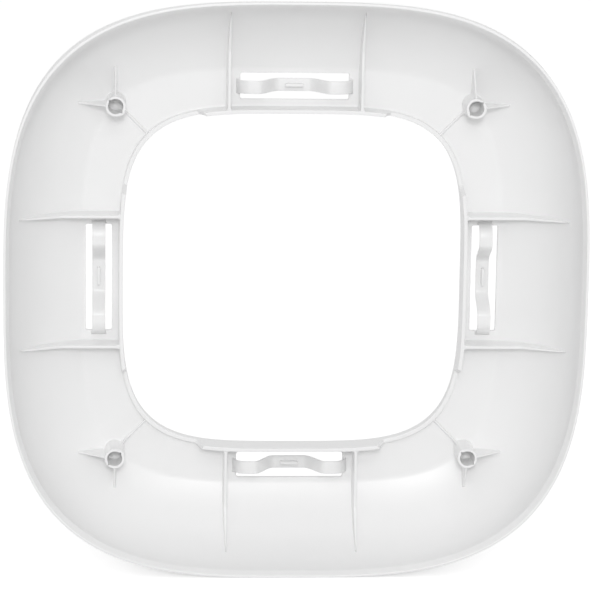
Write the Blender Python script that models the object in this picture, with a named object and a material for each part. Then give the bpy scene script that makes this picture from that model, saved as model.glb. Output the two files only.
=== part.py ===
"""Snap-on trim ring that dresses a ceiling access point: one moulded rounded-square shell with stiffening
ribs, four screw bosses and a guide lip round its opening, and four wavy spring latches in their windows.

The origin is the ring's centre on the ceiling plane. Its axis runs along Y: the open side that meets the
ceiling faces -Y and the show face faces +Y. Z runs up across the ring, from its lower edge to its upper one.
"""

import math

import bmesh
import bpy
import numpy as np
from mathutils import Vector

MM = 0.001

# Shell, in millimetres
RIM_HALF = 137.5          # centre to the outer edge, in the middle of a side
RIM_SQUARENESS = 3.15     # exponent of the rim's superellipse
SKIN = 2.6                # wall of the shell
NOSE_FLAT = 1.1           # flat end of the rim that touches the ceiling
NOSE_DEPTH = 4.2          # depth over which the rim thickens to the full wall
FLOOR_DEPTH = 44.8        # ceiling plane to the back of the flat ring round the opening
WALL_CENTRE_INSET = 16.5  # crease to the centre of the ellipse that the curved wall follows
OPENING_HALF = 81.7
OPENING_SQUARENESS = 4.0
CREASE_SQUARENESS = 4.0
LIP_WALL = 1.8
LIP_HEIGHT = 13.8         # flat ring to the back edge of the raised guide lips
LIP_BEYOND_RIB = 10.6     # how far a lip runs on past the ribs that meet it
LIP_END_SLOPE = 3.0       # length over which a lip drops to the curb
CURB_HEIGHT = 3.4         # low curb that joins the lips round the corners

# Windows, one behind each side of the opening
WINDOW_LENGTH = 52.0
WINDOW_WIDTH = 12.6
WINDOW_INSET = 5.2        # opening's edge to the window
WINDOW_OUTSET = 2.0       # window to the crease, where the curved wall meets the flat ring

# Ribs, two beside each window
RIB_THICKNESS = 1.5
RIB_CLEAR = 5.6           # window's end to the middle of a rib
RIB_TIP_HEIGHT = 21.6     # flat ring to where a rib runs out on the wall
RIB_SLOPE_RUN = 18.0      # length over which a rib drops to the wall
RIB_DROP = 0.6            # lip's back edge to the free edge of a rib

# Screw bosses on the corners of the crease
SOCKET_DIAMETER = 7.2
SOCKET_LENGTH = 14.0
BOSS_WALL = 1.15
BOSS_HEIGHT = 19.3        # flat ring to the open end of a boss
GUSSET_THICKNESS = 1.2
GUSSET_START = 2.0        # boss's open end to where a gusset starts
GUSSET_SLOPE = 0.84       # drop of a gusset's free edge for each millimetre along it
CORNER_RIB_HEIGHT = 1.6
CORNER_RIB_START = 8.5    # flat ring to where the corner rib's foot starts on the boss
CORNER_RIB_RUN = 4.0      # length over which that foot drops to the rib
CORNER_RIB_THICKNESS = 1.0

# Spring latches
LEAF_THICKNESS = 1.2
LEAF_SIDE_GAP = 3.15      # between the leaf and each long side of its window
LEAF_CREST_RISE = 6.6     # flat ring to the back of the leaf's arches
LEAF_DIP = 5.8            # flat ring to the back of the leaf's middle, below it
CREST_INSET = 7.0         # window's end to the top of an arch
CREST_FLAT = 3.0
FOOT_OVERLAP = 1.5        # how far a foot stands past the window's end
PAD_LENGTH = 14.0
NIB_LENGTH = 8.6
NIB_THICKNESS = 1.4
NIB_HEIGHT = 3.6
FOOT_GAP = 0.3            # between a foot and the flat ring
PIVOT_GAP = 0.9           # between an arm and the pad, for the arm's swing

# Places that follow from the sizes above
FRONT_DEPTH = FLOOR_DEPTH + SKIN
TOTAL_DEPTH = FLOOR_DEPTH + LEAF_DIP + LEAF_THICKNESS
LIP_DEPTH = FLOOR_DEPTH - LIP_HEIGHT
BOSS_DEPTH = FLOOR_DEPTH - BOSS_HEIGHT
CREASE_HALF = OPENING_HALF + WINDOW_INSET + WINDOW_WIDTH + WINDOW_OUTSET
WALL_CENTRE = CREASE_HALF - WALL_CENTRE_INSET
RIB_ALONG = WINDOW_LENGTH / 2 + RIB_CLEAR
LIP_HALF_LENGTH = RIB_ALONG + LIP_BEYOND_RIB
BOSS_DIAMETER = SOCKET_DIAMETER + 2 * BOSS_WALL
LEAF_CENTRE = OPENING_HALF + WINDOW_INSET + WINDOW_WIDTH / 2
LEAF_HALF_WIDTH = WINDOW_WIDTH / 2 - LEAF_SIDE_GAP
CREST_AT = WINDOW_LENGTH / 2 - CREST_INSET
FOOT_AT = WINDOW_LENGTH / 2 + FOOT_OVERLAP

# How the solids are faceted and joined
GRID_STEPS = (8, 1, 3)    # ring directions beside a lip, on its end slope, and from there to the corner
WALL_STEPS = 10
ROUND_SIDES = 24
OVERLAP = 0.4             # least depth of a web
EMBED = SKIN / 2          # how deep ribs and gussets sink into the skin
BOSS_EMBED = SKIN / 3
CUT_PAST = 3.0            # how far a cutter stands past what it cuts
SIDES = ("top", "right", "bottom", "left")
WHITE = (0.80, 0.80, 0.80, 1.0)


def new_material(name, colour, roughness):
    material = bpy.data.materials.new(name)
    material.use_nodes = True
    shader = material.node_tree.nodes["Principled BSDF"]
    shader.inputs["Base Color"].default_value = colour
    shader.inputs["Roughness"].default_value = roughness
    shader.inputs["Metallic"].default_value = 0.0
    return material


def place(points):
    """(x, depth, height) in millimetres to metres."""
    return np.asarray(points, float) * MM


def add_object(name, points, faces, material=None):
    mesh = bpy.data.meshes.new(name)
    mesh.from_pydata([tuple(p) for p in place(points)], [], [tuple(int(i) for i in f) for f in faces])
    mesh.update()
    obj = bpy.data.objects.new(name, mesh)
    bpy.context.scene.collection.objects.link(obj)
    if material:
        mesh.materials.append(material)
    return obj


def polar(half, squareness, angle):
    """Distance from the centre to a superellipse, in the direction of angle."""
    c = np.abs(np.cos(angle)) ** squareness
    s = np.abs(np.sin(angle)) ** squareness
    return half / (c + s) ** (1 / squareness)


def wall_section(skin, count):
    """(half width, squareness, depth) along the curved wall, from the rim to the flat ring.

    It is an ellipse round (WALL_CENTRE, NOSE_DEPTH), which grows by skin for the outer face. The
    squareness goes evenly from the rim's to the crease's.
    """
    bulge = RIM_HALF - SKIN - WALL_CENTRE
    wide = bulge + skin
    inner_start = WALL_CENTRE_INSET / bulge
    tall = (FLOOR_DEPTH - NOSE_DEPTH) / math.sqrt(1 - inner_start**2) + skin
    last = math.asin((FLOOR_DEPTH + skin - NOSE_DEPTH) / tall)
    turn = np.linspace(0, last, count)
    half = WALL_CENTRE + wide * np.cos(turn)
    depth = NOSE_DEPTH + tall * np.sin(turn)
    share = np.linspace(0, 1, count)
    square = RIM_SQUARENESS + (CREASE_SQUARENESS - RIM_SQUARENESS) * share
    return np.stack([half, square, depth], axis=1)


def floor_depth_at(x, z):
    """Depth of the shell's back face at a point of the plan, on the flat ring or on the curved wall."""
    angle = math.atan2(z, x)
    half, square, depth = wall_section(0, 4 * WALL_STEPS)[::-1].T
    return float(np.interp(math.hypot(x, z), polar(half, square, angle), depth))


def wall_meets(start, step, depth, slope=0):
    """Point of the plan where an edge that leaves start at this depth, in the direction step, and deepens by
    slope for each millimetre runs into the curved wall."""
    start, step = np.array(start, float), np.array(step, float)
    reach = np.linspace(0, RIM_HALF, 20 * WALL_STEPS)
    above = [depth + slope * r - floor_depth_at(*(start + step * r)) for r in reach]
    return start + step * np.interp(0, above, reach)


def opening_angle(along):
    """Direction, from the +X axis, of the opening's edge at this distance from the middle of a side."""
    power = OPENING_SQUARENESS
    across = (OPENING_HALF**power - along**power) ** (1 / power)
    return math.atan2(along, across)


def ring_angles():
    """Directions of the grid, the same in each eighth, with one on each end of a lip's slope."""
    lip_end = LIP_HALF_LENGTH + LIP_END_SLOPE
    stops = [0, opening_angle(LIP_HALF_LENGTH), opening_angle(lip_end), math.pi / 4]
    eighth = [np.linspace(*ends, count + 1)[:-1] for *ends, count in zip(stops, stops[1:], GRID_STEPS)]
    angles = np.concatenate(eighth)
    quarter = np.concatenate([angles, [math.pi / 4], (math.pi / 2 - angles[::-1])[:-1]])
    return np.concatenate([quarter + turn * math.pi / 2 for turn in range(4)])


def lip_depths(angles):
    """Depth of the back edge round the opening: the lips, their sloped ends and the curb between them."""
    folded = np.abs((angles + math.pi / 4) % (math.pi / 2) - math.pi / 4)
    ends = [opening_angle(LIP_HALF_LENGTH), opening_angle(LIP_HALF_LENGTH + LIP_END_SLOPE)]
    return np.interp(folded, ends, [LIP_DEPTH, FLOOR_DEPTH - CURB_HEIGHT])


def shell_body():
    """The skin, lips and curb: a closed section carried round the ring."""
    angles = ring_angles()
    lip = lip_depths(angles)
    level = np.ones_like(angles)
    rings = [
        (OPENING_HALF, OPENING_SQUARENESS, lip),
        (OPENING_HALF + LIP_WALL, OPENING_SQUARENESS, lip),
        (OPENING_HALF + LIP_WALL, OPENING_SQUARENESS, FLOOR_DEPTH * level),
    ]
    rings += [(half, square, depth * level) for half, square, depth in wall_section(0, WALL_STEPS)[::-1]]
    rings.append((RIM_HALF - NOSE_FLAT, RIM_SQUARENESS, 0 * level))
    rings.append((RIM_HALF, RIM_SQUARENESS, 0 * level))
    rings += [(half, square, depth * level) for half, square, depth in wall_section(SKIN, WALL_STEPS)]
    rings.append((OPENING_HALF, OPENING_SQUARENESS, FRONT_DEPTH * level))
    points = []
    for half, square, depth in rings:
        reach = polar(half, square, angles)
        points.append(np.stack([reach * np.cos(angles), depth, reach * np.sin(angles)], axis=1))
    faces = []
    turns, loops = len(angles), len(rings)
    for i in range(loops):
        for j in range(turns):
            a, b = i * turns + j, i * turns + (j + 1) % turns
            c, d = ((i + 1) % loops) * turns + (j + 1) % turns, ((i + 1) % loops) * turns + j
            faces.append((a, b, c, d))
    return add_object("cover_shell", np.concatenate(points), faces)


def prism_faces(count):
    """Faces of a prism whose points are listed as one end outline of count points and then the other."""
    faces = [tuple(range(count)), tuple(range(2 * count - 1, count - 1, -1))]
    faces += [(i, i + count, (i + 1) % count + count, (i + 1) % count) for i in range(count)]
    return faces


def plate(name, start, end, thickness, tops):
    """An upright web from start to end in plan, whose free edge has the depths in tops and whose foot
    sinks into the skin."""
    start, end = np.array(start, float), np.array(end, float)
    along = (end - start) / np.linalg.norm(end - start)
    aside = np.array([-along[1], along[0]]) * thickness / 2
    steps = np.linspace(0, 1, len(tops))
    outline = []
    for t, top in zip(steps, tops):
        outline.append((start + (end - start) * t, top))
    for t, top in zip(steps[::-1], tops[::-1]):
        at = start + (end - start) * t
        outline.append((at, max(floor_depth_at(*at) + EMBED, top + OVERLAP)))
    points = []
    for side in (-1, 1):
        points += [(at[0] + side * aside[0], depth, at[1] + side * aside[1]) for at, depth in outline]
    return add_object(name, points, prism_faces(len(outline)))


def turned(point, side):
    """A point of the top side's plan, (along, out), carried round to another side."""
    along, out = point
    return [(along, out), (out, -along), (-along, -out), (-out, along)][side]


def ribs():
    """Two webs beside each window: level with the lip at first, then sloping to a point on the wall."""
    made = []
    top, tip = LIP_DEPTH + RIB_DROP, FLOOR_DEPTH - RIB_TIP_HEIGHT
    for side in range(4):
        for hand in (-1, 1):
            inner = (hand * RIB_ALONG, OPENING_HALF + LIP_WALL / 2)
            outer = wall_meets(inner, (0, 1), tip)
            steps = np.linspace(inner[1], outer[1], WALL_STEPS + 3)
            tops = np.interp(steps, [outer[1] - RIB_SLOPE_RUN, outer[1]], [top, tip])
            ends = turned(inner, side), turned(outer, side)
            made.append(plate(f"rib_{side}_{hand}", *ends, RIB_THICKNESS, tops))
    return made


def cylinder(name, centre, radius, depths):
    """An upright cylinder, turned half a facet so that no edge lies on the diagonal of the ring."""
    turn = (np.arange(ROUND_SIDES) + 0.5) * 2 * math.pi / ROUND_SIDES
    points = []
    for depth in depths:
        for x, z in zip(centre[0] + radius * np.cos(turn), centre[1] + radius * np.sin(turn)):
            points.append((x, depth, z))
    return add_object(name, points, prism_faces(ROUND_SIDES))


def corners():
    """Centres of the bosses, where the crease is furthest from the middle."""
    along = polar(CREASE_HALF, CREASE_SQUARENESS, math.pi / 4) / math.sqrt(2)
    return [(x * along, z * along) for x in (-1, 1) for z in (-1, 1)]


def bosses():
    """Four tubes on the crease, each with two gussets to the wall and a low rib to the opening."""
    made = []
    inside = (BOSS_DIAMETER + SOCKET_DIAMETER) / 4
    top = BOSS_DEPTH + GUSSET_START
    for number, (x, z) in enumerate(corners()):
        depths = (BOSS_DEPTH, FLOOR_DEPTH + BOSS_EMBED)
        made.append(cylinder(f"boss_{number}", (x, z), BOSS_DIAMETER / 2, depths))
        for way, step in (("x", (math.copysign(1, x), 0)), ("z", (0, math.copysign(1, z)))):
            start = (x + step[0] * inside, z + step[1] * inside)
            end = wall_meets(start, step, top, GUSSET_SLOPE)
            tops = top + GUSSET_SLOPE * np.linspace(0, math.dist(start, end), WALL_STEPS // 2)
            made.append(plate(f"gusset_{number}_{way}", start, end, GUSSET_THICKNESS, tops))
        diagonal = np.array([x, z]) / math.hypot(x, z)
        start = np.array([x, z]) - diagonal * inside
        end = diagonal * (polar(OPENING_HALF, OPENING_SQUARENESS, math.pi / 4) + LIP_WALL / 2)
        from_boss = np.linspace(0, math.dist(start, end), WALL_STEPS + 3) - BOSS_WALL / 2
        heights = np.interp(from_boss, [0, CORNER_RIB_RUN], [CORNER_RIB_START, CORNER_RIB_HEIGHT])
        tops = FLOOR_DEPTH - heights
        made.append(plate(f"corner_rib_{number}", start, end, CORNER_RIB_THICKNESS, tops))
    return made


def box(name, low, high):
    points = [(x, y, z) for x in (low[0], high[0]) for y in (low[1], high[1]) for z in (low[2], high[2])]
    faces = [(0, 1, 3, 2), (4, 6, 7, 5), (0, 4, 5, 1), (2, 3, 7, 6), (0, 2, 6, 4), (1, 5, 7, 3)]
    return add_object(name, points, faces)


def cutters():
    """The four windows and the four blind sockets in the bosses."""
    made = []
    near = OPENING_HALF + WINDOW_INSET
    for side in range(4):
        one = turned((-WINDOW_LENGTH / 2, near), side)
        two = turned((WINDOW_LENGTH / 2, near + WINDOW_WIDTH), side)
        low = (min(one[0], two[0]), FLOOR_DEPTH - CUT_PAST, min(one[1], two[1]))
        high = (max(one[0], two[0]), FRONT_DEPTH + CUT_PAST, max(one[1], two[1]))
        made.append(box(f"window_cutter_{side}", low, high))
    for number, centre in enumerate(corners()):
        depths = (BOSS_DEPTH - CUT_PAST, BOSS_DEPTH + SOCKET_LENGTH)
        made.append(cylinder(f"socket_cutter_{number}", centre, SOCKET_DIAMETER / 2, depths))
    return made


def recalculate(obj):
    mesh = bmesh.new()
    mesh.from_mesh(obj.data)
    bmesh.ops.recalc_face_normals(mesh, faces=mesh.faces)
    mesh.to_mesh(obj.data)
    mesh.free()


def combine(obj, others, operation):
    """One Boolean of all the helpers into obj. The helpers are removed."""
    helpers = bpy.data.collections.new("helpers")
    bpy.context.scene.collection.children.link(helpers)
    for other in others:
        recalculate(other)
        bpy.context.scene.collection.objects.unlink(other)
        helpers.objects.link(other)
    modifier = obj.modifiers.new("combine", "BOOLEAN")
    modifier.operation = operation
    modifier.solver = "EXACT"
    modifier.use_self = True
    modifier.operand_type = "COLLECTION"
    modifier.collection = helpers
    graph = bpy.context.evaluated_depsgraph_get()
    done = bpy.data.meshes.new_from_object(obj.evaluated_get(graph))
    obj.modifiers.clear()
    old = obj.data
    obj.data = done
    bpy.data.meshes.remove(old)
    for other in others:
        bpy.data.objects.remove(other)
    bpy.data.collections.remove(helpers)


def make_shell(material):
    shell = shell_body()
    recalculate(shell)
    combine(shell, ribs() + bosses(), "UNION")
    combine(shell, cutters(), "DIFFERENCE")
    shell.data.materials.clear()
    shell.data.materials.append(material)
    shell.data.shade_smooth()
    shell.data.set_sharp_from_angle(angle=math.radians(25))
    return shell


def leaf_depth(along):
    """Depth of the leaf's back face at a distance from its middle: a flat dip, a smooth rise to the arch,
    and a quarter of an ellipse down to the foot."""
    along = abs(along)
    crest = FLOOR_DEPTH - LEAF_CREST_RISE
    dip = FLOOR_DEPTH + LEAF_DIP
    flat = PAD_LENGTH / 2
    rise_end = CREST_AT - CREST_FLAT / 2
    fall_start = CREST_AT + CREST_FLAT / 2
    if along <= flat:
        return dip
    if along < rise_end:
        return crest + (dip - crest) * (1 + math.cos(math.pi * (along - flat) / (rise_end - flat))) / 2
    if along < fall_start:
        return crest
    share = min((along - fall_start) / (FOOT_AT - fall_start), 1)
    return crest + (FLOOR_DEPTH - FOOT_GAP - crest) * (1 - math.sqrt(1 - share**2))


def arm_outline():
    """The arm's section from its foot to the pad, as (along, depth) points: the back face by leaf_depth and
    the front face a leaf's thickness inside it."""
    inner = PAD_LENGTH / 2 + PIVOT_GAP
    fall_start = CREST_AT + CREST_FLAT / 2
    rise = list(np.linspace(inner, CREST_AT - CREST_FLAT / 2, 11)[:-1])
    turn = np.linspace(0, math.pi / 2, 6)
    fall = [fall_start + (FOOT_AT - fall_start) * math.sin(a) for a in turn]
    back = np.array([(s, leaf_depth(s)) for s in rise + fall])
    step = np.gradient(back, axis=0)
    step[0] = (1, 0)
    step[-1] = (0, 1)
    normal = np.stack([-step[:, 1], step[:, 0]], axis=1) / np.linalg.norm(step, axis=1)[:, None]
    front = back + normal * LEAF_THICKNESS
    return np.concatenate([back, front[::-1]])


def leaf_piece(name, outline, side, across, material, origin):
    """An outline of (along, depth) points given a width, on one side of the ring. Its object's origin is
    on its joint."""
    low, high = across
    points = []
    for out in (low, high):
        for along, depth in outline:
            x, z = turned((along, out), side)
            points.append((x, depth, z))
    piece = add_object(name, points, prism_faces(len(outline)), material)
    recalculate(piece)
    x, z = turned(origin[:2], side)
    piece.location = Vector(place([x, origin[2], z]))
    piece.data.transform(piece.matrix_basis.inverted())
    piece.data.shade_smooth()
    piece.data.set_sharp_from_angle(angle=math.radians(35))
    return piece


def make_latches(material):
    """One latch in each window: a pad in the middle that is pushed in, and an arm each side of it."""
    across = (LEAF_CENTRE - LEAF_HALF_WIDTH, LEAF_CENTRE + LEAF_HALF_WIDTH)
    pivot = WINDOW_LENGTH / 2 + FOOT_OVERLAP / 2
    for side, word in enumerate(SIDES):
        for hand, hand_word in ((-1, "a"), (1, "b")):
            outline = arm_outline() * np.array([hand, 1])
            origin = (hand * pivot, LEAF_CENTRE, FLOOR_DEPTH + SKIN / 2)
            leaf_piece(f"latch_{word}_arm_{hand_word}", outline, side, across, material, origin)
        dip = FLOOR_DEPTH + LEAF_DIP
        half = PAD_LENGTH / 2
        flat = [(-half, dip), (half, dip), (half, dip + LEAF_THICKNESS), (-half, dip + LEAF_THICKNESS)]
        origin = (0, LEAF_CENTRE, dip + LEAF_THICKNESS / 2)
        pad = leaf_piece(f"latch_{word}_pad", flat, side, across, material, origin)
        nib_half = NIB_LENGTH / 2
        raised = [(-nib_half, dip - NIB_HEIGHT), (nib_half, dip - NIB_HEIGHT)]
        nib_outline = raised + [(nib_half, dip + LEAF_THICKNESS / 2), (-nib_half, dip + LEAF_THICKNESS / 2)]
        nib_across = (LEAF_CENTRE - NIB_THICKNESS / 2, LEAF_CENTRE + NIB_THICKNESS / 2)
        nib = leaf_piece("nib", nib_outline, side, nib_across, material, origin)
        combine(pad, [nib], "UNION")


def main():
    for obj in list(bpy.data.objects):
        bpy.data.objects.remove(obj, do_unlink=True)
    white = new_material("white_moulded_plastic", WHITE, 0.35)
    make_shell(white)
    make_latches(white)


main()
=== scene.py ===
"""Snap-on trim ring of a ceiling access point, in satin white moulded plastic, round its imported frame.

The ring's axis runs along Y: its open side, which meets the ceiling, faces -Y. Each side of the ring is
worked out in the top side's plan as (along, out, depth): along the side, out from the ring's centre, and
from the ceiling plane towards the show face. It is then turned to the other sides.
"""

import math

import bmesh
import bpy
import numpy as np
from bpy.props import FloatProperty, FloatVectorProperty, PointerProperty, StringProperty
from mathutils import Matrix, Vector


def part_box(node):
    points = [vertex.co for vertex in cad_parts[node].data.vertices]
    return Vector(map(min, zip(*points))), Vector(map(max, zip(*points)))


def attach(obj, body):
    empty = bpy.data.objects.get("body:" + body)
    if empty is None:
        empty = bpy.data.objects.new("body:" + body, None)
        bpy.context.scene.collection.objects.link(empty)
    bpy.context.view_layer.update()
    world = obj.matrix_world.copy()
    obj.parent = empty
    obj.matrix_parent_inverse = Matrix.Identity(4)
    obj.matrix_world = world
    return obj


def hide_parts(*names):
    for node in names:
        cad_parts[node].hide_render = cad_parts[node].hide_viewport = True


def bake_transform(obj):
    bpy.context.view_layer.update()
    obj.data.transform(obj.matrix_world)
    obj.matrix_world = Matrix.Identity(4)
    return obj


bl_info = {
    "name": "Ceiling Trim Ring",
    "version": (1, 0, 0),
    "blender": (4, 5, 0),
    "location": "3D Viewport > Sidebar > Trim Ring",
    "description": "Builds the skin, webs, bosses and spring latches of a moulded trim ring, and its stage",
    "category": "Add Mesh",
}

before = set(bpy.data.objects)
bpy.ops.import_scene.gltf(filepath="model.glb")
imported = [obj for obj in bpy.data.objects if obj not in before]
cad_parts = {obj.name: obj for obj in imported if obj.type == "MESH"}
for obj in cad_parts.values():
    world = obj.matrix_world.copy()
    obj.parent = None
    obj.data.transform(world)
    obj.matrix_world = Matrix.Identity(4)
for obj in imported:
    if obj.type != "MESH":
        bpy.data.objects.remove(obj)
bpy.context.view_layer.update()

MM = 0.001
SIDES = ("top", "right", "bottom", "left")
SHELL_LOW, SHELL_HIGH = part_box("cover_shell")
PAD_LOW, PAD_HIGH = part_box("latch_top_pad")
ARM_LOW, ARM_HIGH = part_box("latch_top_arm_b")
CEILING = SHELL_LOW.y
RIM_HALF = SHELL_HIGH.x
FRONT_DEPTH = SHELL_HIGH.y - CEILING
LEAF_CENTRE = (PAD_LOW.z + PAD_HIGH.z) / 2
LEAF_HALF_WIDTH = (PAD_HIGH.z - PAD_LOW.z) / 2
PAD_HALF = PAD_HIGH.x
LEAF_FRONT = PAD_HIGH.y - CEILING
LEAF_CREST = ARM_LOW.y - CEILING
FOOT_AT = ARM_HIGH.x
NIB_TOP = PAD_LOW.y - CEILING

ARC_STEPS = 5           # steps of a rounded edge
CORNER_STEPS = 4        # steps of half a window corner
SUPPORT = 0.15 * MM     # flat strip kept beside each rounded edge, so that flat faces shade flat
WELD = 0.002 * MM
SINK = 0.5 * MM         # how far webs, bosses and feet run on into the skin
SETTLE_ROUNDS = 12      # repeats that settle a point's half width on the wall
WALL_STEPS = 26         # rows down the curved wall
FADE = 12 * MM          # length over which straight rows beside a window bend back to the ring's shape
LIP_END_POWER = 1.35    # how hollow a lip's end slope is
LOW_WEB = 6 * MM        # a web lower than this gets less draft
LONGEST_WEB = 60 * MM   # how far out the end of a web is looked for
LOW_SHARE = 0.4         # most of a web's height that its toe or its edge's rounding takes
RIB_POINT_POWER = 1.5   # how late a rib thins towards its point
RIB_BEND = 0.25 * MM    # rounding of a rib's free edge where its slope starts
FINE_TURN = 0.6         # half the part of a boss round a groove that has finer steps, in radians
GROOVE_TURN = 0.22      # half the width of a socket's groove, in radians
BULGE_TURN = 0.55       # half the width of a boss's bulge, in radians
NIB_ROUND_SHARE = 0.3   # rounding of a nib's edges, as a share of its thickness

# Lamps aimed at the ring's centre: name, place, diameter, and the setting with their power
LAMPS = (
    ("front lamp", (-0.1, -2.3, 0.74), 0.4, "front_watts"),
    ("upper lamp", (0, -1.8, 1.2), 0.8, "upper_watts"),
    ("side lamp", (-0.55, -1.3, 1.5), 1.4, "side_watts"),
    ("overhead lamp", (0, -0.3, 1.8), 1.5, "over_watts"),
)


def length(name, description, millimetres):
    return FloatProperty(
        name=name, description=description, default=millimetres * MM, min=0.0, unit="LENGTH", precision=5
    )


def number(name, description, value):
    return FloatProperty(name=name, description=description, default=value, min=0.0)


def colour(name, description, hex_value):
    return StringProperty(name=name, description=description, default=hex_value)


def wattage(name, description, watts):
    return FloatProperty(name=name, description=description, default=watts, min=0.0, unit="POWER")


def turn_by(name, description, degrees):
    return FloatProperty(name=name, description=description, default=math.radians(degrees), unit="ROTATION")


class SkinSizes(bpy.types.PropertyGroup):
    """The moulded skin: rim, curved wall, flat ring, and the lip round the opening."""

    thickness: length("Thickness", "Wall of the skin", 2.6)
    rim_power: number("Rim squareness", "Exponent of the rim's superellipse", 3.15)
    ring_power: number("Ring squareness", "Exponent of the superellipses of the crease and the opening", 4.0)
    nose_flat: length("Nose flat", "Flat end of the rim that touches the ceiling", 1.1)
    nose_depth: length("Nose depth", "Depth over which the rim thickens to the full wall", 4.2)
    nose_round: length("Nose rounding", "Radius of the rim's edges", 0.35)
    crease_half: length("Crease", "Centre to the crease between the flat ring and the curved wall", 101.5)
    crease_blend: length("Crease rounding", "Depth over which the crease is rounded, on the back", 0.4)
    face_blend: length("Face rounding", "Depth over which the show face turns to the wall", 0.9)
    wall_centre: length("Wall centre", "Ring's centre to the centre of the wall's ellipse", 85.0)
    opening_half: length("Opening", "Centre to the opening's edge", 81.7)
    lip_wall: length("Lip wall", "Thickness of the lip round the opening", 1.8)
    lip_height: length("Lip height", "Flat ring to the back edge of a lip", 13.8)
    lip_half_length: length("Lip half length", "Middle of a side to where its lip starts to drop", 42.2)
    lip_end_run: length("Lip end", "Length over which a lip drops to the curb", 3.3)
    curb_height: length("Curb height", "Flat ring to the back edge of the curb between two lips", 3.4)
    lip_round: length("Lip rounding", "Radius of the lip's edges", 0.3)
    lip_fillet: length("Lip fillet", "Radius where the lip meets the flat ring", 0.8)
    face_round: length("Opening rounding", "Radius of the show face's edge at the opening", 0.5)


class WindowSizes(bpy.types.PropertyGroup):
    """The window behind each latch."""

    length: length("Length", "Along the side", 52.0)
    width: length("Width", "Across the flat ring", 12.6)
    inset: length("Inset", "Opening's edge to the window", 5.2)
    corner: length("Corner", "Radius of the window's corners", 1.0)
    edge: length("Edge rounding", "Radius of the window's edges", 0.25)


class WebSizes(bpy.types.PropertyGroup):
    """Ribs beside the windows, gussets of the bosses and low ribs at the corners of the opening."""

    rib_at: length("Rib place", "Middle of a side to the middle of a rib", 31.6)
    rib_thickness: length("Rib thickness", "Thickness at the foot", 1.6)
    rib_drop: length("Rib drop", "Lip's back edge to the free edge of a rib", 0.6)
    rib_tip: length("Rib tip", "Flat ring to where a rib runs out on the wall", 23.9)
    rib_slope: length("Rib slope", "Length over which a rib drops to the wall", 19.4)
    rib_end: length("Rib end", "Thickness where a rib runs out", 0.45)
    gusset_thickness: length("Gusset thickness", "Thickness at the foot", 1.05)
    gusset_start: length("Gusset start", "Boss's open end to where a gusset starts", 2.0)
    gusset_slope: number("Gusset slope", "Drop of a gusset's free edge for each unit along it", 0.84)
    corner_thickness: length("Corner rib thickness", "Thickness at the foot", 0.8)
    corner_height: length("Corner rib height", "Flat ring to the free edge", 1.3)
    corner_start: length("Corner rib start", "Flat ring to where its foot starts on the boss", 8.5)
    corner_run: length("Corner rib run", "Length over which that foot drops to the rib", 4.0)
    taper: length("Taper", "How much thinner a web is at its free edge, for the mould's draft", 0.2)
    edge: length("Edge rounding", "Radius of a web's free edge", 0.3)
    toe: length("Toe fillet", "Radius where a web meets the skin", 0.5)


class BossSizes(bpy.types.PropertyGroup):
    """Screw bosses on the corners of the crease."""

    diameter: length("Diameter", "Across the boss", 9.5)
    socket: length("Socket", "Across the blind socket", 7.2)
    socket_depth: length("Socket depth", "Depth of the blind socket", 14.0)
    height: length("Height", "Flat ring to the open end of a boss", 19.3)
    groove: length("Groove", "How far the socket's two keying grooves run into the wall", 0.85)
    bulge: length("Bulge", "How far the wall stands out round the inner groove", 0.5)
    edge: length("Edge rounding", "Radius of the open end's edges", 0.2)
    toe: length("Toe fillet", "Radius where a boss meets the skin", 0.6)


class LatchSizes(bpy.types.PropertyGroup):
    """Wavy spring latches. Their places come from the frame."""

    thickness: length("Leaf thickness", "Thickness of the leaf", 1.2)
    edge: length("Edge rounding", "Radius of the leaf's edges", 0.3)
    flare: length("Root flare", "Radius where a foot meets the flat ring", 0.5)
    crest_at: length("Crest place", "Middle of the latch to the top of an arch", 19.0)
    crest_flat: length("Crest flat", "Length of the flat top of an arch", 3.0)
    nib_length: length("Nib length", "Length of the grip nib on the pad", 8.6)
    nib_thickness: length("Nib thickness", "Thickness of the grip nib", 1.4)


class FinishColours(bpy.types.PropertyGroup):
    """Finish of the moulding and colours of the stage."""

    moulding: colour("Moulding", "White of the moulded plastic", "#F3F3F3")
    shade: colour("Flow shade", "White where the melt cooled slower", "#EFEFEF")
    floor: colour("Floor", "Colour of the floor", "#E6E6E6")
    front_watts: wattage("Front", "Lamp a little above the camera", 14.9)
    upper_watts: wattage("Upper", "Lamp high over the camera", 3.4)
    side_watts: wattage("Side", "Large lamp up on the left", 0.8)
    over_watts: wattage("Overhead", "Large lamp over the ring", 2.4)
    sky: number("Sky", "Strength of the even light from all round", 0.60)
    floor_glow: number("Floor glow", "What the floor adds to its own light for the camera", 0.52)


class CameraPlace(bpy.types.PropertyGroup):
    """Where the camera stands, seen from the ring's centre on the ceiling plane."""

    distance: length("Distance", "Camera to the ring's centre", 1402.0)
    azimuth: turn_by("Azimuth", "Turn from -Y", -3.61)
    elevation: turn_by("Elevation", "Rise", 11.26)
    roll: turn_by("Roll", "Turn round the view", 0.86)
    lens: FloatProperty(name="Lens", description="Focal length in millimetres", default=179.37, unit="CAMERA")
    shift: FloatVectorProperty(name="Shift", description="Lens shift", size=2, default=(-0.00165, -0.00688))


# Surfaces


def superellipse(half, power, angle):
    """Distance from the centre to |x|^power + |y|^power = half^power, in the direction of angle."""
    return half / (np.abs(np.cos(angle)) ** power + np.abs(np.sin(angle)) ** power) ** (1 / power)


def direction(along, half, power):
    """Angle from a side's middle to the point of the superellipse that lies this far along the side."""
    return np.arctan2(along, (half**power - along**power) ** (1 / power))


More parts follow.
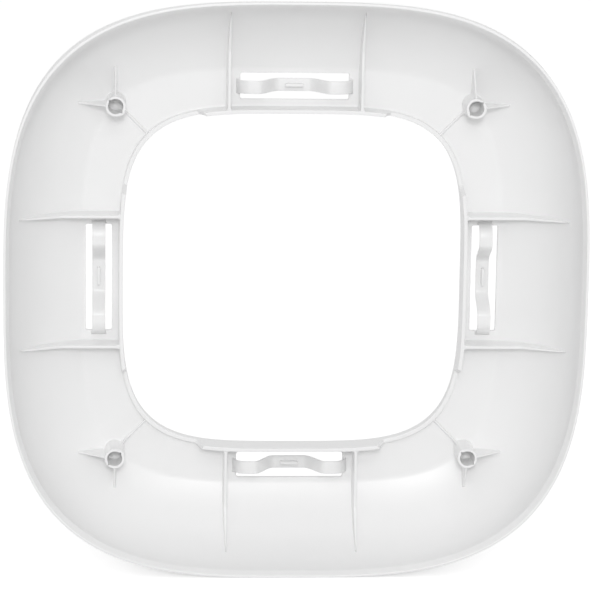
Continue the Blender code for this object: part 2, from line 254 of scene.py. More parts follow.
def smaller(a, b, blend):
    """The smaller of two depths, with the corner between them rounded: what is left of blend, after
    the gap between a and b, is squared, and a quarter of it over blend comes off."""
    return np.minimum(a, b) - np.maximum(blend - np.abs(a - b), 0) ** 2 / (4 * blend)


def rounded_corner(before, corner, after, radius, support=SUPPORT):
    """Arc of this radius tangent to the two legs of a corner, with a support point on each leg."""
    before, corner, after = (np.array(p, float) for p in (before, corner, after))
    into = (before - corner) / np.linalg.norm(before - corner)
    out = (after - corner) / np.linalg.norm(after - corner)
    half_angle = math.acos(np.clip(into @ out, -1, 1)) / 2
    tangent = radius / math.tan(half_angle)
    bisector = (into + out) / np.linalg.norm(into + out)
    centre = corner + bisector * radius / math.sin(half_angle)
    first, last = corner + into * tangent - centre, corner + out * tangent - centre
    sweep = math.pi - 2 * half_angle
    turn = np.linspace(0, sweep, ARC_STEPS + 1)[:, None]
    arc = centre + (np.sin(sweep - turn) * first + np.sin(turn) * last) / math.sin(sweep)
    ends = corner + into * (tangent + support), corner + out * (tangent + support)
    return np.concatenate([[ends[0]], arc, [ends[1]]])


def wall_radii(skin, extra):
    """Radii of the wall's ellipse, across and deep. Extra is 0 on the back and a thickness on the face."""
    wide = RIM_HALF - skin.thickness - skin.wall_centre
    at_crease = (skin.crease_half - skin.wall_centre) / wide
    tall = (floor_depth(skin) - skin.nose_depth) / math.sqrt(1 - at_crease**2)
    return wide + extra, tall + extra


def floor_depth(skin):
    return FRONT_DEPTH - skin.thickness


def lip_depth(skin):
    return floor_depth(skin) - skin.lip_height


def wall_power(skin, turn, tall, flat):
    """Squareness at an angle of the wall's ellipse: it goes evenly from the rim's to the ring's."""
    share = np.clip(turn / math.asin((flat - skin.nose_depth) / tall), 0, 1)
    return skin.rim_power + (skin.ring_power - skin.rim_power) * share


def wall_turn(skin, half, wide):
    return np.arccos(np.clip((half - skin.wall_centre) / wide, -1, 1))


def surface_depth(skin, x, z, face=False):
    """Depth of the skin's back, or of its show face, at points of the plan. A point's half width is found
    by repeating: squareness at that half width, then half width at that squareness."""
    if face:
        extra, flat, blend = skin.thickness, FRONT_DEPTH, skin.face_blend
    else:
        extra, flat, blend = 0.0, floor_depth(skin), skin.crease_blend
    wide, tall = wall_radii(skin, extra)
    away, angle = np.hypot(x, z), np.arctan2(z, x)
    half = away / superellipse(1.0, skin.ring_power, angle)
    for _ in range(SETTLE_ROUNDS):
        power = wall_power(skin, wall_turn(skin, half, wide), tall, flat)
        half = away / superellipse(1.0, power, angle)
    wall = skin.nose_depth + tall * np.sin(wall_turn(skin, half, wide))
    return smaller(wall, flat, blend)


def wall_rows(skin, extra, flat, blend, first):
    """(half, power, depth) from the flat over the rounded crease and down the wall's ellipse to the rim.
    No row lies nearer to the centre than first."""
    wide, tall = wall_radii(skin, extra)
    crease = skin.wall_centre + wide * math.sqrt(1 - ((flat - skin.nose_depth) / tall) ** 2)
    steepness = tall / wide * (crease - skin.wall_centre) / wide / ((flat - skin.nose_depth) / tall)
    near = np.linspace(max(crease - blend / steepness, first), crease + blend / steepness, 9)
    near = wall_turn(skin, near, wide)
    turn = np.concatenate([near, np.linspace(near[-1], 0, WALL_STEPS + 1)[1:]])
    depth = smaller(skin.nose_depth + tall * np.sin(turn), flat, blend)
    half = skin.wall_centre + wide * np.cos(turn)
    return np.stack([half, wall_power(skin, turn, tall, flat), depth], axis=1)


def sheet(points, close_rows=False, close_columns=False, caps=False, keep=None):
    """Faces of a grid of points, (rows, columns, 3), with its rows or columns joined end to end."""
    rows, columns = points.shape[:2]
    index = np.arange(rows * columns).reshape(rows, columns)
    lower = index if close_rows else index[:-1]
    upper = np.roll(index, -1, axis=0) if close_rows else index[1:]
    if not close_columns:
        lower_next, upper_next = lower[:, 1:], upper[:, 1:]
        lower, upper = lower[:, :-1], upper[:, :-1]
    else:
        lower_next, upper_next = np.roll(lower, -1, axis=1), np.roll(upper, -1, axis=1)
    quads = np.stack([lower, lower_next, upper_next, upper], axis=-1)
    quads = quads[keep] if keep is not None else quads.reshape(-1, 4)
    polygons = [list(index[0]), list(index[-1])] if caps else []
    return points.reshape(-1, 3), quads, polygons


def turned(points, side):
    """Points of the top side's plan, (along, out, depth), on another side and in the frame's axes."""
    turn = side * math.pi / 2
    along, out, depth = np.moveaxis(points, -1, 0)
    x = along * math.cos(turn) + out * math.sin(turn)
    z = out * math.cos(turn) - along * math.sin(turn)
    return np.stack([x, depth + CEILING, z], axis=-1)


def make_piece(name, sheets, sharp=None):
    """One object from sheets in the frame's axes: doubles are merged and normals point outwards."""
    points = np.concatenate([s[0] for s in sheets])
    starts = np.cumsum([0] + [len(s[0]) for s in sheets[:-1]])
    faces = [quad for s, start in zip(sheets, starts) for quad in (s[1] + start).tolist()]
    faces += [[i + int(start) for i in polygon] for s, start in zip(sheets, starts) for polygon in s[2]]
    mesh = bpy.data.meshes.new(name)
    mesh.from_pydata(points.tolist(), [], faces)
    shape = bmesh.new()
    shape.from_mesh(mesh)
    bmesh.ops.remove_doubles(shape, verts=shape.verts, dist=WELD)
    bmesh.ops.dissolve_degenerate(shape, edges=shape.edges, dist=WELD / 4)
    bmesh.ops.recalc_face_normals(shape, faces=shape.faces)
    shape.to_mesh(mesh)
    shape.free()
    mesh.shade_smooth()
    if sharp:
        mesh.set_sharp_from_angle(angle=math.radians(sharp))
    piece = bpy.data.objects.new(name, mesh)
    bpy.context.scene.collection.objects.link(piece)
    mesh.materials.append(satin_moulded_abs())
    return piece


# The skin


def lip_edge(skin, angle):
    """Depth of the back edge round the opening: a lip's, falling to the curb's over its end slope.
    Along the slope the drop is 1 - (1 - share)^LIP_END_POWER, steep at the lip and hollow at the curb."""
    along = np.abs(superellipse(skin.opening_half, skin.ring_power, angle) * np.sin(angle))
    share = np.clip((along - skin.lip_half_length) / skin.lip_end_run, 0, 1)
    curb = floor_depth(skin) - skin.curb_height
    return lip_depth(skin) + (curb - lip_depth(skin)) * (1 - (1 - share) ** LIP_END_POWER)


def ring_columns(skin, window):
    """Directions of the skin's columns over one side, close together at the window's corners and on the
    lip's end slopes. Also the number of columns from the middle to the window's end."""
    far = skin.opening_half + window.inset + window.width
    margin = window.edge + SUPPORT
    corner = window.length / 2 - window.corner
    window_ends = np.concatenate([
        np.linspace(0, corner, 12),
        np.linspace(corner, window.length / 2 + margin, CORNER_STEPS + 1)[1:],
    ])
    inner = direction(window_ends, far, skin.ring_power)
    lip_end = skin.lip_half_length + skin.lip_end_run
    lip = np.concatenate([
        [skin.lip_half_length - 2 * SUPPORT],
        np.linspace(skin.lip_half_length, lip_end, 21),
        [lip_end + 2 * SUPPORT],
    ])
    slope = direction(lip, skin.opening_half, skin.ring_power)
    middle = np.linspace(inner[-1], slope[0], 9)[1:-1]
    corner_part = np.linspace(slope[-1], math.pi / 4, 13)[1:]
    half = np.concatenate([inner, middle, slope, corner_part])
    return np.concatenate([-half[:0:-1], half]), len(inner) - 1


def window_rows(skin, window):
    """Distances out from the centre of the rows that cross a window, closer at its corners."""
    near = skin.opening_half + window.inset
    far = near + window.width
    margin = window.edge + SUPPORT
    return np.concatenate([
        np.linspace(near - margin, near + window.corner, CORNER_STEPS + 1),
        np.linspace(near + window.corner, far - window.corner, 7)[1:],
        np.linspace(far - window.corner, far + margin, CORNER_STEPS + 1)[1:],
    ])


def window_outline(skin, window, offset):
    """The window's outline grown by offset: straight edges with the grid's points, and round corners.
    It runs round from the middle of the first corner, so that it matches the grid's hole."""
    near = skin.opening_half + window.inset
    far = near + window.width
    long, radius = window.length / 2 - window.corner, window.corner + offset
    edge = np.linspace(-long, long, 23)
    side = np.linspace(near + window.corner, far - window.corner, 7)
    turn = np.linspace(0, math.pi / 2, 2 * CORNER_STEPS + 1)[1:-1]
    parts = [
        np.stack([edge, np.full_like(edge, near - offset)], axis=1),
        np.stack([long + radius * np.sin(turn), side[0] - radius * np.cos(turn)], axis=1),
        np.stack([np.full_like(side, long + radius), side], axis=1),
        np.stack([long + radius * np.cos(turn), side[-1] + radius * np.sin(turn)], axis=1),
        np.stack([-edge, np.full_like(edge, far + offset)], axis=1),
        np.stack([-long - radius * np.sin(turn), side[-1] + radius * np.cos(turn)], axis=1),
        np.stack([np.full_like(side, -long - radius), side[::-1]], axis=1),
        np.stack([-long - radius * np.cos(turn), side[0] - radius * np.sin(turn)], axis=1),
    ]
    return np.roll(np.concatenate(parts), CORNER_STEPS, axis=0)


def window_block(skin, window, angle, last, face):
    """The flat ring's rows that cross a window. Near the window they run straight, and away from it they
    fade into superellipses like the rows on either side."""
    rows = window_rows(skin, window)[:, None]
    far = skin.opening_half + window.inset + window.width
    along = superellipse(far, skin.ring_power, angle) * np.sin(angle)
    straight = np.clip(1 - (np.abs(along) - window.length / 2 - window.edge - SUPPORT) / FADE, 0, 1)
    reach = superellipse(rows, skin.ring_power, angle)
    plan = np.stack([
        straight * along + (1 - straight) * reach * np.sin(angle),
        straight * rows + (1 - straight) * reach * np.cos(angle),
    ], axis=-1)
    middle, count = len(angle) // 2, len(rows) - 1
    left, right = middle - last, middle + last
    hole_rows = np.concatenate([np.zeros(2 * last), np.arange(count), np.full(2 * last, count),
                                np.arange(count, 0, -1)]).astype(int)
    hole_columns = np.concatenate([np.arange(left, right), np.full(count, right), np.arange(right, left, -1),
                                   np.full(count, left)]).astype(int)
    plan[hole_rows, hole_columns] = window_outline(skin, window, window.edge + SUPPORT)
    depth = surface_depth(skin, plan[..., 0], plan[..., 1], face)
    return np.concatenate([plan, depth[..., None]], axis=-1)


def skin_section(skin, window):
    """Rows of the skin's closed section, as (half, power, depth, lift), in two runs that the two window
    blocks part. A row with a lift of 1 has its depth counted from the lip's back edge."""
    inner, outer = skin.opening_half, skin.opening_half + skin.lip_wall
    floor, face = floor_depth(skin), FRONT_DEPTH

    def rows(points, power, lift=0.0):
        same = np.ones(len(points))
        return np.column_stack([points[:, 0], power * same, points[:, 1], lift * same])

    ring = skin.ring_power
    deep = floor / 2
    opening = [
        rows(rounded_corner((outer, face), (inner, face), (inner, deep), skin.face_round), ring),
        rows(rounded_corner((inner, deep), (inner, 0), (outer, 0), skin.lip_round), ring, 1.0),
        rows(rounded_corner((inner, 0), (outer, 0), (outer, deep), skin.lip_round), ring, 1.0),
        rows(rounded_corner((outer, deep), (outer, floor), (inner * 2, floor), skin.lip_fillet), ring),
    ]
    first = window_rows(skin, window)[-1] + SUPPORT
    back = wall_rows(skin, 0.0, floor, skin.crease_blend, first)
    front = wall_rows(skin, skin.thickness, face, skin.face_blend, first)[::-1]
    foot = (RIM_HALF - skin.thickness, skin.nose_depth)
    tip, edge = (RIM_HALF - skin.nose_flat, 0.0), (RIM_HALF, 0.0)
    rim = skin.rim_power
    nose = [
        rows(rounded_corner(back[-3, [0, 2]], foot, tip, 4 * skin.nose_round), rim),
        rows(rounded_corner(foot, tip, edge, skin.nose_round), rim),
        rows(rounded_corner(tip, edge, (RIM_HALF, skin.nose_depth), skin.nose_round), rim),
    ]
    back, front = np.insert(back[:-2], 3, 0.0, axis=1), np.insert(front, 3, 0.0, axis=1)
    return np.concatenate(opening), np.concatenate([back, *nose, front])


def polar_rows(skin, rows, angle):
    """Rows of a section carried over the columns of one side."""
    half, power, depth, lift = (column[:, None] for column in rows.T)
    reach = superellipse(half, power, angle)
    depth = depth + lift * lip_edge(skin, angle)
    return np.stack([reach * np.sin(angle), reach * np.cos(angle), depth], axis=-1)


def skin_sheets(skin, window):
    """One side of the skin, a closed section carried over 90 degrees with the window's cells left out, and
    the wall of its window."""
    angle, last = ring_columns(skin, window)
    opening, wall = skin_section(skin, window)
    back = window_block(skin, window, angle, last, face=False)
    front = window_block(skin, window, angle, last, face=True)[::-1]
    parts = [polar_rows(skin, opening, angle), back, polar_rows(skin, wall, angle), front]
    grid = np.concatenate(parts)
    keep = np.ones((len(grid), len(angle) - 1), bool)
    middle = len(angle) // 2
    for start in (len(opening), len(opening) + len(back) + len(wall)):
        keep[start:start + len(back) - 1, middle - last:middle + last] = False
    floor, edge = floor_depth(skin), window.edge
    turn = np.linspace(0, math.pi / 2, ARC_STEPS + 1)
    offsets = np.concatenate([[edge + SUPPORT], edge * (1 - np.sin(turn)), [0.0]])
    depths = np.concatenate([[0.0], edge * (1 - np.cos(turn)), [edge + SUPPORT]])
    loops = [(offset, floor + depth) for offset, depth in zip(offsets, depths)]
    loops += [(offset, FRONT_DEPTH - depth) for offset, depth in zip(offsets[::-1], depths[::-1])]
    tube = []
    for offset, depth in loops:
        plan = window_outline(skin, window, offset)
        tube.append(np.column_stack([plan, np.full(len(plan), depth)]))
    tube = np.array(tube)
    tube[-1, :, 2] = surface_depth(skin, tube[-1, :, 0], tube[-1, :, 1], face=True)
    tube[0, :, 2] = surface_depth(skin, tube[0, :, 0], tube[0, :, 1])
    return grid, keep, tube


# Webs and bosses


def web(skin, webs, start, step, reach, top, thickness, root=0.0):
    """An upright web, as a closed sheet in the frame's plan. Its profile runs from a foot under the skin,
    round a concave toe fillet, up a drafted side and round the free edge, and is mirrored. It is carried
    along reach, with its toe on the skin and its free edge at top, and it ends square, down into the skin.
    Beside root, the face that it springs from, it widens in a fillet. Its thickness may change on the way."""
    start, step = np.array(start, float), np.array(step, float)
    aside = np.array([-step[1], step[0]])
    base = surface_depth(skin, *(start[:, None] + step[:, None] * reach))
    height = np.maximum(base - top, 0.0)[:, None]
    thickness = np.reshape(thickness, (-1, 1))
    toe = np.minimum(webs.toe, LOW_SHARE * height)
    edge = np.minimum(webs.edge, LOW_SHARE * height)
    turn = np.linspace(0, math.pi / 2, ARC_STEPS + 1)
    share = np.clip(height / LOW_WEB, 0, 1)
    top_half = thickness / 2 - webs.taper / 2 * share
    to_root = np.clip(reach - root, 0, webs.toe)[:, None]
    widen = webs.toe - np.sqrt(webs.toe**2 - (webs.toe - to_root) ** 2)
    toe_out = thickness / 2 + toe * (1 - np.sin(turn)) + widen
    edge_out = top_half - edge * (1 - np.cos(turn)) + widen
    out = np.concatenate([toe_out[:, :1], toe_out, edge_out], axis=1)
    out = np.concatenate([-out, out[:, ::-1]], axis=1)
    plan = start + step * reach[:, None, None] + aside * out[..., None]
    skin_at = surface_depth(skin, plan[..., 0], plan[..., 1])
    count = ARC_STEPS + 1
    raised = np.concatenate([np.full_like(toe, -SINK), toe * (1 - np.cos(turn))], axis=1)
    free = (base[:, None] - height) + edge * (1 - np.sin(turn))
    left = np.concatenate([skin_at[:, :count + 1] - raised, free], axis=1)
    right = np.concatenate([skin_at[:, -count - 1:][:, ::-1] - raised, free], axis=1)[:, ::-1]
    depth = np.concatenate([left, right], axis=1)
    end = skin_at[-1:] + SINK
    plan = np.concatenate([plan, plan[-1:]])
    depth = np.concatenate([depth, end])
    points = np.stack([plan[..., 0], depth + CEILING, plan[..., 1]], axis=-1)
    return sheet(points, close_columns=True, caps=True)


def run_out(skin, start, step, top, slope=0.0):
    """How far an edge that leaves start at depth top, and deepens by slope, goes before it meets the wall."""
    reach = np.linspace(0, LONGEST_WEB, 600)
    plan = np.array(start)[:, None] + np.array(step)[:, None] * reach
    above = top + slope * reach - surface_depth(skin, *plan)
    return float(np.interp(0.0, above, reach))


def side_vector(side, along, out):
    x, _, z = turned(np.array([along, out, 0.0]), side)
    return x, z


def rib_sheets(skin, webs):
    """Two ribs beside each window, level with the lip at first and then sloping and thinning to a point on
    the wall. The thickness goes from rib_thickness to rib_end with share^RIB_POINT_POWER of the slope."""
    sheets = []
    top, tip = lip_depth(skin) + webs.rib_drop, floor_depth(skin) - webs.rib_tip
    for side in range(4):
        for hand in (-1, 1):
            start = side_vector(side, hand * webs.rib_at, skin.opening_half + skin.lip_wall / 2)
            step = side_vector(side, 0.0, 1.0)
            end = run_out(skin, start, step, tip)
            reach = np.linspace(0, end, 64)
            share = (reach - end + webs.rib_slope) / webs.rib_slope
            edge = smaller(np.full_like(reach, top), top - (top - tip) * share, RIB_BEND)
            thinner = np.clip(share, 0, 1) ** RIB_POINT_POWER
            thickness = webs.rib_thickness + (webs.rib_end - webs.rib_thickness) * thinner
            sheets.append(web(skin, webs, start, step, reach, edge, thickness, skin.lip_wall / 2))
    return sheets


def boss_centres(skin):
    """(x, z) of the bosses, on the corners of the crease."""
    at = superellipse(skin.crease_half, skin.ring_power, math.pi / 4) / math.sqrt(2)
    return [(x * at, z * at) for x in (-1, 1) for z in (-1, 1)]


def gusset_sheets(skin, webs, boss):
    """Two gussets from each boss to the wall."""
    sheets = []
    inside = (boss.diameter + boss.socket) / 4
    top = floor_depth(skin) - boss.height + webs.gusset_start
    for x, z in boss_centres(skin):
        for step in ((math.copysign(1, x), 0.0), (0.0, math.copysign(1, z))):
            start = (x + step[0] * inside, z + step[1] * inside)
            end = run_out(skin, start, step, top, webs.gusset_slope)
            reach = np.linspace(0, end, 40)
            edge = top + webs.gusset_slope * reach
            sheets.append(web(skin, webs, start, step, reach, edge, webs.gusset_thickness,
                              boss.diameter / 2 - inside))
    return sheets


def corner_rib_sheets(skin, webs, boss):
    """A low rib from each boss to the opening's corner, which starts with a steep foot on the boss."""
    sheets = []
    inside = (boss.diameter + boss.socket) / 4
    corner = superellipse(skin.opening_half, skin.ring_power, math.pi / 4) + skin.lip_wall / 2
    for x, z in boss_centres(skin):
        away = math.hypot(x, z)
        step = (-x / away, -z / away)
        start = (x + step[0] * inside, z + step[1] * inside)
        reach = np.linspace(0, away - inside - corner, 60)
        share = np.clip((reach - boss.diameter / 2 + inside) / webs.corner_run, 0, 1)
        height = webs.corner_height + (webs.corner_start - webs.corner_height) * (1 - share) ** 1.5
        edge = floor_depth(skin) - height
        sheets.append(web(skin, webs, start, step, reach, edge, webs.corner_thickness,
                          boss.diameter / 2 - inside))
    return sheets


def boss_sheet(skin, boss, x, z):
    """A tube turned round (x, z): foot, toe fillet, outer wall, open end, socket and its floor. The socket
    has a V groove towards the opening and another one opposite. The wall stands out round the first one in
    a cosine bulge."""
    fine = np.linspace(-FINE_TURN, FINE_TURN, 25)
    coarse = np.linspace(FINE_TURN, math.pi - FINE_TURN, 13)[1:-1]
    turn = np.concatenate([fine, coarse, fine + math.pi, coarse + math.pi])
    from_middle = np.abs((turn + math.pi) % (2 * math.pi) - math.pi)
    from_groove = np.minimum(from_middle, math.pi - from_middle)
    groove = boss.groove * np.clip(1 - from_groove / GROOVE_TURN, 0, 1)
    bulge = boss.bulge * np.cos(np.clip(from_middle / BULGE_TURN, 0, 1) * math.pi / 2) ** 2
    outer, inner = boss.diameter / 2 + bulge, boss.socket / 2 + groove
    arc = np.linspace(0, math.pi / 2, ARC_STEPS + 1)[:, None]
    end = floor_depth(skin) - boss.height
    heading = math.atan2(-z, -x) + turn

    def skin_at(radius):
        return surface_depth(skin, x + radius * np.cos(heading), z + radius * np.sin(heading))

    toe_radius = outer + boss.toe * (1 - np.sin(arc))
    toe_depth = skin_at(toe_radius) - boss.toe * (1 - np.cos(arc))
    radius = [0 * outer, toe_radius[0], *toe_radius, *(outer - boss.edge * (1 - np.cos(arc))),
              *(inner + boss.edge * (1 - np.sin(arc))), inner, inner - boss.edge, 0 * inner]
    depth = [0 * outer + floor_depth(skin) + SINK, toe_depth[0] + SINK, *toe_depth,
             *(end + boss.edge * (1 - np.sin(arc)) + 0 * outer),
             *(end + boss.edge * (1 - np.cos(arc)) + 0 * outer),
             0 * outer + end + boss.socket_depth - boss.edge, 0 * outer + end + boss.socket_depth,
             0 * outer + end + boss.socket_depth]
    radius, depth = np.array(radius), np.array(depth)
    points = np.stack([x + radius * np.cos(heading), depth + CEILING, z + radius * np.sin(heading)], axis=-1)
    return sheet(points, close_columns=True)


# The latches


def leaf_line(skin, latch):
    """Back face of an arm, as (along, depth) from the pad's edge to the foot: half a cosine wave up to the
    arch, a flat crest, a quarter of an ellipse down to the flat ring, and a straight foot under it."""
    dip = LEAF_FRONT - latch.thickness
    rise_end, fall_start = latch.crest_at - latch.crest_flat / 2, latch.crest_at + latch.crest_flat / 2
    rise = np.linspace(PAD_HALF, rise_end, 40)
    phase = np.pi * (rise - PAD_HALF) / (rise_end - PAD_HALF)
    wave = LEAF_CREST + (dip - LEAF_CREST) * (1 + np.cos(phase)) / 2
    turn = np.linspace(0, math.pi / 2, 24)
    fall = fall_start + (FOOT_AT - fall_start) * np.sin(turn)
    drop = LEAF_CREST + (floor_depth(skin) - LEAF_CREST) * (1 - np.cos(turn))
    along = np.concatenate([rise, fall, [FOOT_AT]])
    depth = np.concatenate([wave, drop, [floor_depth(skin) + SINK]])
    return along, depth


def leaf_profile(half_width, half_thickness, radius):
    """Rounded rectangle, as (across, through) points."""
    turn = np.linspace(0, math.pi / 2, ARC_STEPS + 1)
    corner = np.stack([half_width - radius + radius * np.sin(turn),
                       half_thickness - radius + radius * np.cos(turn)], axis=1)
    right = np.concatenate([corner, corner[::-1] * [1, -1]])
    return np.concatenate([right, right[::-1] * [-1, 1]])


def arm_sheet(skin, latch, side, hand):
    """The leaf's profile carried along leaf_line, square to it. It widens in a fillet at the foot."""
    along, depth = leaf_line(skin, latch)
    step = np.stack([np.gradient(along), np.gradient(depth)], axis=1)
    step[0], step[-2:] = (1, 0), (0, 1)
    step /= np.linalg.norm(step, axis=1)[:, None]
    through = np.stack([-step[:, 1], step[:, 0]], axis=1)
    profile = leaf_profile(LEAF_HALF_WIDTH, latch.thickness / 2, latch.edge)
    to_floor = np.clip(floor_depth(skin) - depth, 0, latch.flare)
    to_floor = np.where(along > latch.crest_at, to_floor, latch.flare)
    flare = latch.flare - np.sqrt(latch.flare**2 - (latch.flare - to_floor) ** 2)
    across = profile[:, 0] + np.sign(profile[:, 0]) * flare[:, None]
    deep = profile[:, 1] - (profile[:, 1] < 0) * flare[:, None] + latch.thickness / 2
    points = np.stack([
        hand * (along[:, None] + through[:, :1] * deep),
        LEAF_CENTRE + across,
        depth[:, None] + through[:, 1:] * deep,
    ], axis=-1)
    return sheet(turned(points, side), close_columns=True, caps=True)


def rounded_block(centre, half, radius):
    """A block with round edges: a ball's points, each moved out to its own corner of a smaller block."""
    lift = (np.arange(2 * ARC_STEPS) + 0.5) / (2 * ARC_STEPS) * math.pi - math.pi / 2
    turn = (np.arange(4 * ARC_STEPS) + 0.5) / (4 * ARC_STEPS) * 2 * math.pi
    lift, turn = lift[:, None], turn[None, :]
    ball = np.stack([np.cos(lift) * np.cos(turn), np.cos(lift) * np.sin(turn),
                     np.sin(lift) + 0 * turn], axis=-1)
    return np.array(centre) + np.sign(ball) * (np.array(half) - radius) + ball * radius


def pad_sheets(skin, latch, side):
    """The pad in the middle of a latch, with its grip nib."""
    profile = leaf_profile(LEAF_HALF_WIDTH, latch.thickness / 2, latch.edge)
    along = np.linspace(-PAD_HALF, PAD_HALF, 9)[:, None]
    points = np.stack([
        along + 0 * profile[:, 0],
        LEAF_CENTRE + profile[:, 0] + 0 * along,
        LEAF_FRONT - latch.thickness / 2 + profile[:, 1] + 0 * along,
    ], axis=-1)
    top, foot = NIB_TOP, LEAF_FRONT - latch.thickness / 2
    nib = rounded_block(
        (0.0, LEAF_CENTRE, (top + foot) / 2),
        (latch.nib_length / 2, latch.nib_thickness / 2, (foot - top) / 2),
        NIB_ROUND_SHARE * latch.nib_thickness,
    )
    return [
        sheet(turned(points, side), close_columns=True, caps=True),
        sheet(turned(nib, side), close_columns=True, caps=True),
    ]


# Finish


def linear(hex_colour):
    """RGBA in linear light from an sRGB hex value."""
    channels = [int(hex_colour[i:i + 2], 16) / 255 for i in (1, 3, 5)]
    return [c / 12.92 if c <= 0.04045 else ((c + 0.055) / 1.055) ** 2.4 for c in channels] + [1.0]


def add_node(tree, kind, inputs=None, **settings):
    """A node with its settings, and with values or links on its inputs."""
    node = tree.nodes.new(kind)
    for name, value in settings.items():
        setattr(node, name, value)
    for name, value in (inputs or {}).items():
        if isinstance(value, bpy.types.NodeSocket):
            tree.links.new(value, node.inputs[name])
        else:
            node.inputs[name].default_value = value
    return node


def satin_moulded_abs():
    """White ABS, injection moulded in a lightly spark-eroded mould: a satin surface whose fine grain breaks
    up highlights, with faint broad changes of white where the melt flowed."""
    name = "satin moulded ABS"
    material = bpy.data.materials.get(name)
    if material:
        return material
    colours = bpy.context.scene.trim_finish
    material = bpy.data.materials.new(name)
    material.use_nodes = True
    tree = material.node_tree
    tree.nodes.clear()
    place = add_node(tree, "ShaderNodeTexCoord").outputs["Object"]
    # Flow marks, about 40 mm apart
    flow = add_node(tree, "ShaderNodeTexNoise", {"Vector": place, "Scale": 1 / 0.04, "Detail": 3.0})
    white = add_node(tree, "ShaderNodeMix", {
        "Factor": flow.outputs["Fac"], 6: linear(colours.moulding), 7: linear(colours.shade),
    }, data_type="RGBA")
    # Spark-eroded grain is about 0.05 mm, drawn at 0.8 mm so that it shows
    grain = add_node(tree, "ShaderNodeTexNoise", {"Vector": place, "Scale": 1 / 0.0008, "Detail": 4.0})
    rough = add_node(tree, "ShaderNodeMapRange", {
        "Value": grain.outputs["Fac"], "To Min": 0.32, "To Max": 0.40,
    })
    bump = add_node(tree, "ShaderNodeBump", {
        "Height": grain.outputs["Fac"], "Strength": 0.12, "Distance": 0.00004,
    })
    shader = add_node(tree, "ShaderNodeBsdfPrincipled", {
        "Base Color": white.outputs[2], "Roughness": rough.outputs["Result"], "IOR": 1.53,
        "Normal": bump.outputs["Normal"],
    })
    add_node(tree, "ShaderNodeOutputMaterial", {"Surface": shader.outputs["BSDF"]})
    return material


def seen_directly(tree):
    """1 for what the camera sees, also in a gloss or through glass."""
    path = add_node(tree, "ShaderNodeLightPath")
    first = add_node(tree, "ShaderNodeMath", {
        0: path.outputs["Is Camera Ray"], 1: path.outputs["Is Glossy Ray"],
    }, operation="MAXIMUM")
    return add_node(tree, "ShaderNodeMath", {
        0: first.outputs[0], 1: path.outputs["Is Transmission Ray"],
    }, operation="MAXIMUM").outputs[0]


def matt_floor():
    """Matt white board. To the camera it glows a little, so that it blends with the white background and
    still keeps the deeper part of the ring's shadow."""
    finish = bpy.context.scene.trim_finish
    material = bpy.data.materials.new("matt white board")
    material.use_nodes = True
    tree = material.node_tree
    tree.nodes.clear()
    diffuse = add_node(tree, "ShaderNodeBsdfDiffuse", {"Color": linear(finish.floor)})
    glow = add_node(tree, "ShaderNodeEmission", {"Color": (1, 1, 1, 1), "Strength": finish.floor_glow})
    both = add_node(tree, "ShaderNodeAddShader", {0: diffuse.outputs[0], 1: glow.outputs[0]})
    mix = add_node(tree, "ShaderNodeMixShader",
                   {0: seen_directly(tree), 1: diffuse.outputs[0], 2: both.outputs[0]})
    add_node(tree, "ShaderNodeOutputMaterial", {"Surface": mix.outputs[0]})
    return material


# Operators


class TRIM_OT_skin(bpy.types.Operator):
    """Build the moulded skin with its lip, crease, rim and windows"""

    bl_idname = "trim.skin"
    bl_label = "Build Skin"

    def execute(self, context):
        skin, window = context.scene.trim_skin, context.scene.trim_window
        grid, keep, tube = skin_sheets(skin, window)
        sheets = []
        for side in range(4):
            sheets.append(sheet(turned(grid, side), close_rows=True, keep=keep))
            sheets.append(sheet(turned(tube, side), close_columns=True))
        piece = make_piece("moulded_skin", sheets)
        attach(piece, "shell")
        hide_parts("cover_shell")
        return {"FINISHED"}


class TRIM_OT_webs(bpy.types.Operator):
    """Build the ribs, gussets and corner ribs"""

    bl_idname = "trim.webs"
    bl_label = "Build Webs"

    def execute(self, context):
        scene = context.scene
        skin, webs, boss = scene.trim_skin, scene.trim_webs, scene.trim_boss
        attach(make_piece("wall_ribs", rib_sheets(skin, webs)), "shell")
        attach(make_piece("boss_gussets", gusset_sheets(skin, webs, boss)), "shell")
        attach(make_piece("corner_ribs", corner_rib_sheets(skin, webs, boss)), "shell")
        return {"FINISHED"}


class TRIM_OT_bosses(bpy.types.Operator):
    """Build the four screw bosses"""

    bl_idname = "trim.bosses"
    bl_label = "Build Bosses"

    def execute(self, context):
        skin, boss = context.scene.trim_skin, context.scene.trim_boss
        sheets = [boss_sheet(skin, boss, x, z) for x, z in boss_centres(skin)]
        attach(make_piece("screw_bosses", sheets, sharp=50), "shell")
        return {"FINISHED"}


class TRIM_OT_latches(bpy.types.Operator):
    """Build the spring latches: a pad and two bending arms in each window"""

    bl_idname = "trim.latches"
    bl_label = "Build Latches"

    def execute(self, context):
        skin, latch = context.scene.trim_skin, context.scene.trim_latch
        for side, word in enumerate(SIDES):
            pad = make_piece(f"{word}_latch_grip", pad_sheets(skin, latch, side), sharp=50)
            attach(pad, f"{word}_pad")
            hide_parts(f"latch_{word}_pad")
            for hand, letter in ((-1, "a"), (1, "b")):
                leaf = arm_sheet(skin, latch, side, hand)
                arm = make_piece(f"{word}_latch_leaf_{letter}", [leaf], sharp=60)
                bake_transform(arm)
                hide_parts(f"latch_{word}_arm_{letter}")
        return {"FINISHED"}


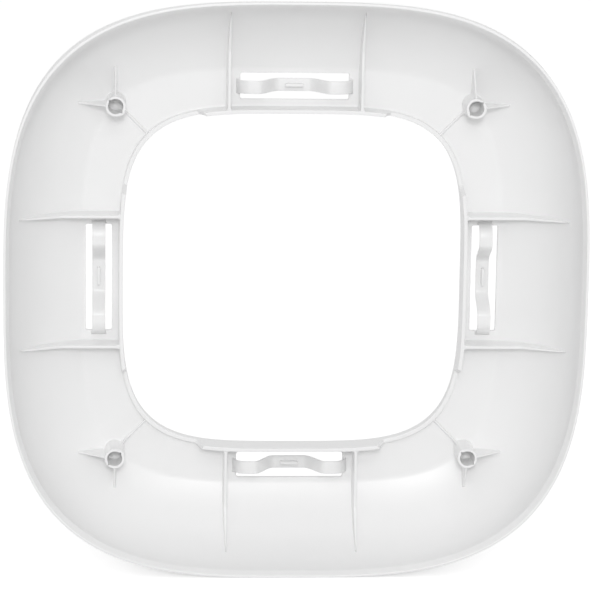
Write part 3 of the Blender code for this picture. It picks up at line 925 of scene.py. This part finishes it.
class TRIM_OT_stage(bpy.types.Operator):
    """Set the floor, the white surroundings, the lamps and the camera"""

    bl_idname = "trim.stage"
    bl_label = "Set Stage"

    def execute(self, context):
        scene = context.scene
        finish = scene.trim_finish
        bpy.ops.mesh.primitive_plane_add(size=12.0, location=(0, 0, SHELL_LOW.z))
        floor = context.object
        floor.name = "floor_board"
        floor.data.materials.append(matt_floor())

        world = bpy.data.worlds.new("white room")
        scene.world = world
        world.use_nodes = True
        tree = world.node_tree
        tree.nodes.clear()
        even = add_node(tree, "ShaderNodeBackground", {"Color": (1, 1, 1, 1), "Strength": finish.sky})
        white = add_node(tree, "ShaderNodeBackground", {"Color": (1, 1, 1, 1), "Strength": 1.0})
        mix = add_node(tree, "ShaderNodeMixShader",
                       {0: seen_directly(tree), 1: even.outputs[0], 2: white.outputs[0]})
        add_node(tree, "ShaderNodeOutputWorld", {"Surface": mix.outputs[0]})

        ring = Vector((0, CEILING, 0))
        for name, place, size, setting in LAMPS:
            add_lamp(name, Vector(place), ring, size, getattr(finish, setting))
        add_camera(scene, ring)
        scene.view_settings.view_transform = "Standard"
        return {"FINISHED"}


def add_lamp(name, place, target, size, watts):
    light = bpy.data.lights.new(name, "AREA")
    light.shape = "DISK"
    light.size = size
    light.energy = watts
    lamp = bpy.data.objects.new(name, light)
    bpy.context.scene.collection.objects.link(lamp)
    lamp.location = place
    lamp.rotation_euler = (target - place).to_track_quat("-Z", "Y").to_euler()
    return lamp


def add_camera(scene, ring):
    view = scene.trim_camera
    flat = math.cos(view.elevation)
    back = Vector((math.sin(view.azimuth) * flat, -math.cos(view.azimuth) * flat, math.sin(view.elevation)))
    right = Vector((math.cos(view.azimuth), math.sin(view.azimuth), 0))
    up = back.cross(right)
    roll = view.roll
    right, up = right * math.cos(roll) + up * math.sin(roll), up * math.cos(roll) - right * math.sin(roll)
    camera = bpy.data.cameras.new("camera")
    camera.lens = view.lens
    camera.sensor_width = 36.0
    camera.shift_x, camera.shift_y = view.shift
    camera.clip_end = 20.0
    holder = bpy.data.objects.new("camera", camera)
    scene.collection.objects.link(holder)
    turn = Matrix((right, up, back)).transposed()
    holder.matrix_world = Matrix.Translation(ring + back * view.distance) @ turn.to_4x4()
    scene.camera = holder


class TRIM_PT_panel(bpy.types.Panel):
    """Sizes and steps of the trim ring"""

    bl_label = "Trim Ring"
    bl_idname = "TRIM_PT_panel"
    bl_space_type = "VIEW_3D"
    bl_region_type = "UI"
    bl_category = "Trim Ring"

    def draw(self, context):
        for name, label, operator in STEPS:
            box = self.layout.box()
            box.label(text=label)
            settings = getattr(context.scene, name)
            for field in settings.bl_rna.properties:
                if field.identifier not in ("rna_type", "name"):
                    box.prop(settings, field.identifier)
            if operator:
                box.operator(operator)


STEPS = (
    ("trim_finish", "Finish", None),
    ("trim_window", "Windows", None),
    ("trim_skin", "Skin", "trim.skin"),
    ("trim_webs", "Webs", "trim.webs"),
    ("trim_boss", "Bosses", "trim.bosses"),
    ("trim_latch", "Latches", "trim.latches"),
    ("trim_camera", "Stage", "trim.stage"),
)
GROUPS = {
    "trim_skin": SkinSizes,
    "trim_window": WindowSizes,
    "trim_webs": WebSizes,
    "trim_boss": BossSizes,
    "trim_latch": LatchSizes,
    "trim_finish": FinishColours,
    "trim_camera": CameraPlace,
}
CLASSES = (
    *GROUPS.values(), TRIM_OT_skin, TRIM_OT_webs, TRIM_OT_bosses, TRIM_OT_latches, TRIM_OT_stage,
    TRIM_PT_panel,
)


def register():
    for item in CLASSES:
        bpy.utils.register_class(item)
    for name, group in GROUPS.items():
        setattr(bpy.types.Scene, name, PointerProperty(type=group))


def unregister():
    for name in GROUPS:
        delattr(bpy.types.Scene, name)
    for item in reversed(CLASSES):
        bpy.utils.unregister_class(item)


def main():
    register()
    bpy.ops.trim.skin()
    bpy.ops.trim.webs()
    bpy.ops.trim.bosses()
    bpy.ops.trim.latches()
    bpy.ops.trim.stage()


if __name__ == "__main__":
    main()
